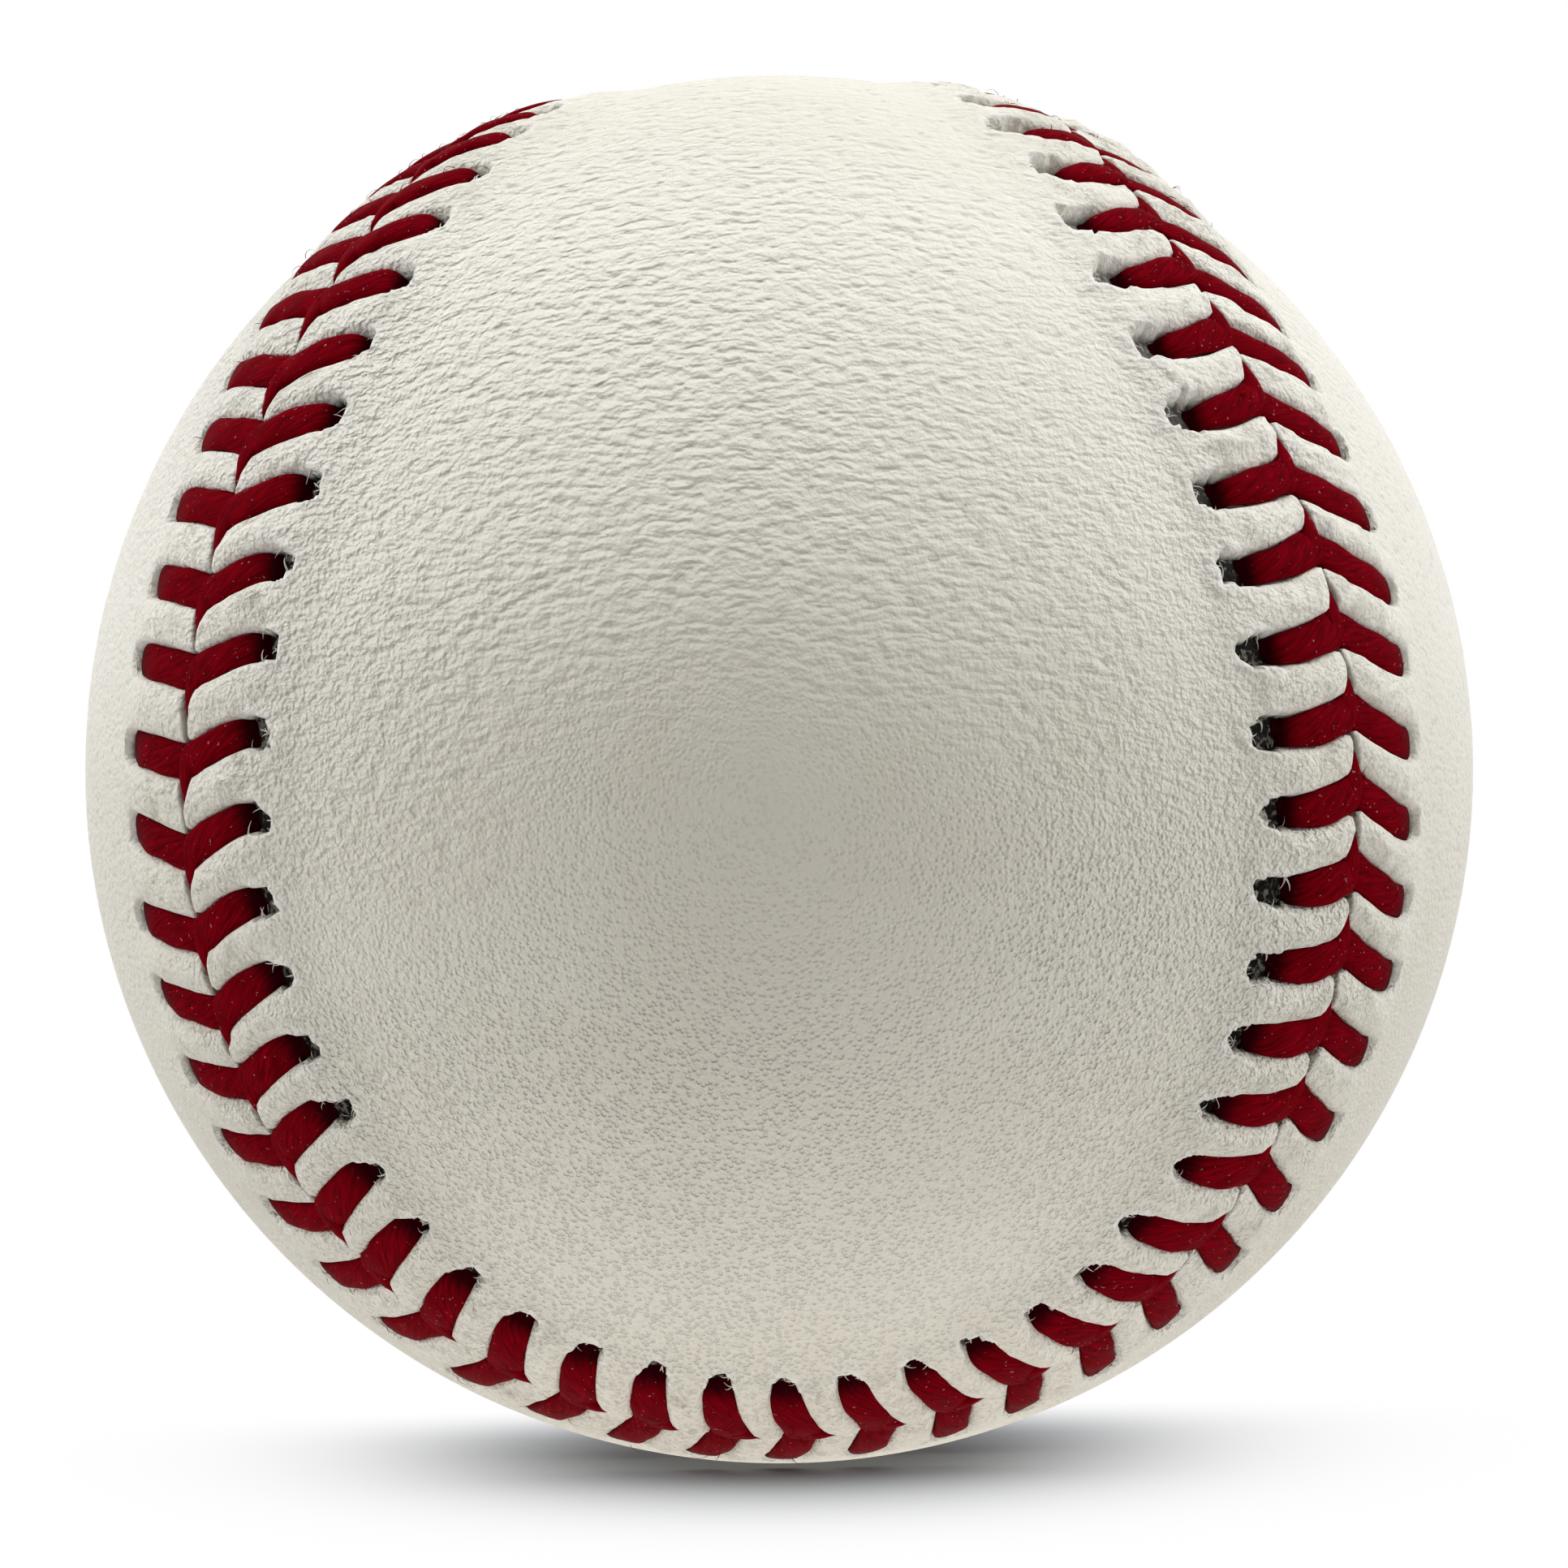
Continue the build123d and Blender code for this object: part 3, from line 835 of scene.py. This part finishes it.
def red_thread():
    """Waxed crimson thread: fine fibres along the lay, painted shade on the foot in the holes and pale specks
    of dust.
    """
    material, n, shader = new_material("red_thread", (0.20, 0.0005, 0.006), 0.5, 0.003)
    lay, turn, depth = n.mask("lay"), n.mask("turn"), n.mask("depth")
    wound = n.math("MULTIPLY", n.math("SUBTRACT", turn, n.math("MULTIPLY", lay, 0.08)), 14.0)
    twist = n.add("ShaderNodeCombineXYZ", X=n.math("MULTIPLY", lay, 0.35), Y=wound).outputs[0]
    strands = n.noise(twist, 2.2, 3.0, 0.6)
    place = n.place()
    patch = n.noise(place, 900.0, 2.0, 0.5)
    tone = n.mix(n.span(strands, 0.3, 0.75), (0.10, 0.0002, 0.003, 1), (0.28, 0.0005, 0.008, 1))
    tone = n.mix(n.math("MULTIPLY", n.span(patch, 0.4, 0.7), 0.35), tone, (0.15, 0.0004, 0.004, 1))
    specks = n.span(n.noise(place, 5200.0, 1.0, 0.4), 0.73, 0.77)
    tone = n.mix(n.math("MULTIPLY", specks, 0.4), tone, (0.62, 0.42, 0.42, 1))
    # Painted shade: the thread darkens as it goes down into the holes
    tone = n.mix(n.span(depth, -0.25, 0.20, 0.92, 0.0), tone, (0.022, 0.0008, 0.003, 1))
    n.set(shader, "Base Color", tone)
    n.set(shader, "Roughness", n.span(strands, 0.25, 0.8, 0.36, 0.55, False))
    n.bump(shader, 0.5, 0.00012, strands)
    return material


def speckled(name, dark, light, scale, roughness, bump_depth):
    """Two tones of one grain, for cork and moulded rubber."""
    material, n, shader = new_material(name, light, roughness)
    place = n.place()
    cells = n.add("ShaderNodeTexVoronoi", Vector=place, Scale=scale)
    cloud = n.noise(place, scale * 0.7, 3.0, 0.6)
    grain = n.math("MULTIPLY", cells.outputs["Distance"], cloud)
    n.set(shader, "Base Color", n.mix(n.span(grain, 0.05, 0.42), (*dark, 1), (*light, 1)))
    n.bump(shader, 0.4, bump_depth, grain)
    return material


def wound_yarn(name, dark, light, turns):
    """Yarn wound in many directions: bands of turns that change direction from patch to patch."""
    material, n, shader = new_material(name, light, 0.85, 0.2)
    place = n.place()
    heights = None
    for tilt in ((0.4, 0.2, 0.0), (1.3, 0.9, 0.4), (0.2, 1.7, 1.1)):
        turned = n.add("ShaderNodeMapping", Vector=place, Rotation=tilt).outputs[0]
        wave = n.add("ShaderNodeTexWave", {"wave_profile": "SIN"}, Vector=turned, Scale=turns,
                     Distortion=1.5, Detail=2.0)
        patch = n.span(n.noise(turned, 120.0, 1.0), 0.45, 0.55)
        band = n.math("MULTIPLY", wave.outputs["Fac"], patch)
        heights = band if heights is None else n.math("MAXIMUM", heights, band)
    n.set(shader, "Base Color", n.mix(heights, (*dark, 1), (*light, 1)))
    n.bump(shader, 0.6, 0.0003, heights)
    return material


leather_finish = leather()
thread_finish = red_thread()
for node, side in (("front_cover", 1), ("side_cover", -1)):
    piece = panel("leather_" + node, side)
    piece.data.materials.append(leather_finish)
    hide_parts(node)
for node, first_side in (("first_thread", 1), ("second_thread", -1)):
    piece = thread("laced_" + node, first_side)
    piece.data.materials.append(thread_finish)
    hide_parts(node)
fibres = torn_fibres("torn_leather_fibres")
fibres.data.materials.append(torn_leather())
fuzz = thread_fuzz("broken_thread_fibres")
fuzz.data.materials.append(thread_finish)

black_rubber = speckled("black_rubber", (0.012, 0.012, 0.012), (0.04, 0.04, 0.04), 900.0, 0.6, 0.0001)
red_rubber = speckled("red_rubber", (0.22, 0.025, 0.02), (0.40, 0.055, 0.04), 900.0, 0.55, 0.0001)
grey_wool = wound_yarn("grey_wool", (0.16, 0.16, 0.17), (0.42, 0.42, 0.43), 260.0)
inner_finishes = {
    "cork_core": speckled("ground_cork", (0.13, 0.07, 0.03), (0.50, 0.33, 0.18), 600.0, 0.8, 0.0003),
    "lower_rubber_shell": black_rubber,
    "upper_rubber_shell": black_rubber,
    "rubber_gasket": red_rubber,
    "red_rubber_layer": red_rubber,
    "inner_grey_winding": grey_wool,
    "white_wool_winding": wound_yarn("white_wool", (0.50, 0.48, 0.43), (0.85, 0.83, 0.78), 260.0),
    "outer_grey_winding": grey_wool,
    "cotton_winding": wound_yarn("white_cotton", (0.48, 0.45, 0.38), (0.86, 0.83, 0.74), 420.0),
}
for node, finish in inner_finishes.items():
    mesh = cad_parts[node].data
    mesh.materials.clear()
    mesh.materials.append(finish)

# Floor, light and camera

visual_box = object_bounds()
floor_level = float(visual_box[0][2])
floor_reach = 1.2

# Painted shadow: inside a bell across and along the camera's picture of the floor, the floor is a grey
# surface under the real light and shade; outside it glows white
camera_depth = 0.158
shadow_across = 14.2
shadow_along = 0.69
shadow_middle = 3.93
shadow_peak = 1.18
shadow_power = 1.7
glow_reach = 0.075
glow_strength = 0.70


def floor():
    """Level square under the ball: white to the camera but for a painted grey shadow, a glowing pale table to
    other rays.
    """
    square = ((-1, -1), (1, -1), (1, 1), (-1, 1))
    corners = [(x * floor_reach, y * floor_reach, floor_level) for x, y in square]
    mesh = bpy.data.meshes.new("studio_floor")
    mesh.from_pydata(corners, [], [(0, 1, 2, 3)])
    piece = bpy.data.objects.new("studio_floor", mesh)
    bpy.context.collection.objects.link(piece)
    # The grey of the painted shadow, faintly blue
    material, n, shader = new_material("floor_white", (0.14, 0.15, 0.166), 0.9, 0.1)
    tree = n.tree
    place = n.place()
    white = n.add("ShaderNodeEmission", Color=(1, 1, 1, 1), Strength=1.0)
    across = n.vector("DOT_PRODUCT", place, (1, 0.027, 0))
    depth = n.math("ADD", n.vector("DOT_PRODUCT", place, (0, 1, 0)), camera_depth)
    sides = n.math("MULTIPLY", n.math("DIVIDE", across, depth), shadow_across)
    length = n.math("SUBTRACT", n.math("DIVIDE", shadow_along, depth), shadow_middle)
    bell = n.math("ADD", n.math("MULTIPLY", sides, sides), n.math("MULTIPLY", length, length))
    bell = n.math("EXPONENT", n.math("MULTIPLY", bell, -0.5))
    bell = n.math("MULTIPLY", bell, n.span(depth, 0.19, 0.265, 1.0, 0.0))
    open_share = n.math("MAXIMUM", n.math("SUBTRACT", 1.0, n.math("MULTIPLY", bell, shadow_peak)), 0.0)
    seen = n.add("ShaderNodeMixShader", Fac=n.math("POWER", open_share, shadow_power))
    bounce = n.add("ShaderNodeBsdfDiffuse", Color=(0.27, 0.27, 0.27, 1))
    spread = n.vector("LENGTH", n.vector("MULTIPLY", place, (1, 1, 0)), (0, 0, 0))
    glow = n.math("MULTIPLY", n.bell(n.math("MULTIPLY", spread, 1 / glow_reach)), glow_strength)
    table_light = n.add("ShaderNodeEmission", Color=(1.0, 0.96, 0.90, 1), Strength=glow)
    unseen = tree.nodes.new("ShaderNodeAddShader")
    camera_ray = tree.nodes.new("ShaderNodeLightPath").outputs["Is Camera Ray"]
    choice = n.add("ShaderNodeMixShader")
    for source, target in ((shader.outputs[0], seen.inputs[1]), (white.outputs[0], seen.inputs[2]),
                           (bounce.outputs[0], unseen.inputs[0]), (table_light.outputs[0], unseen.inputs[1]),
                           (camera_ray, choice.inputs[0]), (unseen.outputs[0], choice.inputs[1]),
                           (seen.outputs[0], choice.inputs[2]),
                           (choice.outputs[0], tree.nodes["Material Output"].inputs["Surface"])):
        tree.links.new(source, target)
    mesh.materials.append(material)
    piece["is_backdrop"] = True


floor()

# Camera, from the photograph's view of the seam
photo_side = 1932
ball_centre_px = (960, 948)
ball_radius_px = 855
camera_distance = 161.1
camera_azimuth = np.radians(1.53)
camera_elevation = np.radians(-10.6)
camera_roll = np.radians(-1.0)
sensor_width = 36.0
focal_px = ball_radius_px * np.sqrt((camera_distance / ball_radius) ** 2 - 1)

level = np.array([np.cos(camera_elevation) * np.sin(camera_azimuth),
                  -np.cos(camera_elevation) * np.cos(camera_azimuth), np.sin(camera_elevation)])
right = unit(np.cross(-level, (0, 0, 1)))
up = np.cross(right, -level)
camera_data = bpy.data.cameras.new("camera")
camera = bpy.data.objects.new("camera", camera_data)
bpy.context.collection.objects.link(camera)
placing = np.eye(4)
placing[:3, 0] = np.cos(camera_roll) * right + np.sin(camera_roll) * up
placing[:3, 1] = np.cos(camera_roll) * up - np.sin(camera_roll) * right
placing[:3, 2] = level
placing[:3, 3] = level * camera_distance * MM
camera.matrix_world = Matrix(placing.tolist())
camera_data.sensor_width = sensor_width
camera_data.lens = focal_px * sensor_width / photo_side
camera_data.shift_x = (photo_side / 2 - ball_centre_px[0]) / photo_side
camera_data.shift_y = (ball_centre_px[1] - photo_side / 2) / photo_side
camera_data.clip_start = 0.005
bpy.context.scene.camera = camera
bpy.context.scene.view_settings.view_transform = "Standard"

# Light tent: a ring of light round the ball, seen from the front, with some light from above and behind
ring_middle = 0.058
ring_width = 0.235
ring_slant = (0.15, 0.0, -1.5)
ring_strength = 4.88
above_strength = 0.10
behind_strength = 0.80
least_strength = 0.03
world = bpy.data.worlds.new("light_tent")
bpy.context.scene.world = world
world.use_nodes = True
n = Nodes(world.node_tree)
background = world.node_tree.nodes["Background"]
heading = n.add("ShaderNodeTexCoord").outputs["Generated"]
upward = n.part(heading, "Z")
frontward = n.vector("DOT_PRODUCT", heading, tuple(float(value) for value in level))
ring = n.bell(n.math("MULTIPLY", n.math("SUBTRACT", frontward, ring_middle), 1 / ring_width))
slant = n.vector("DOT_PRODUCT", heading, ring_slant)
ring = n.math("MULTIPLY", ring, n.math("ADD", slant, ring_strength))
from_above = n.math("MULTIPLY", n.math("POWER", n.math("MAXIMUM", upward, 0.0), 2.0), above_strength)
backward = n.math("MULTIPLY", frontward, -1.0)
from_behind = n.math("MULTIPLY", n.math("MAXIMUM", backward, 0.0), behind_strength)
tent = n.math("ADD", n.math("ADD", ring, from_above), n.math("ADD", from_behind, least_strength))
path = n.tree.nodes.new("ShaderNodeLightPath")
plain_white = n.math("MAXIMUM", path.outputs["Is Camera Ray"], path.outputs["Is Transmission Ray"])
other_rays = n.math("SUBTRACT", 1.0, plain_white)
strength = n.math("ADD", n.math("MULTIPLY", tent, other_rays), plain_white)
n.set(background, "Strength", strength)
warmth = n.math("MULTIPLY", n.span(frontward, 0.05, 0.5), other_rays)
n.set(background, "Color", n.mix(warmth, (1, 1, 1, 1), (1.0, 0.93, 0.73, 1)))
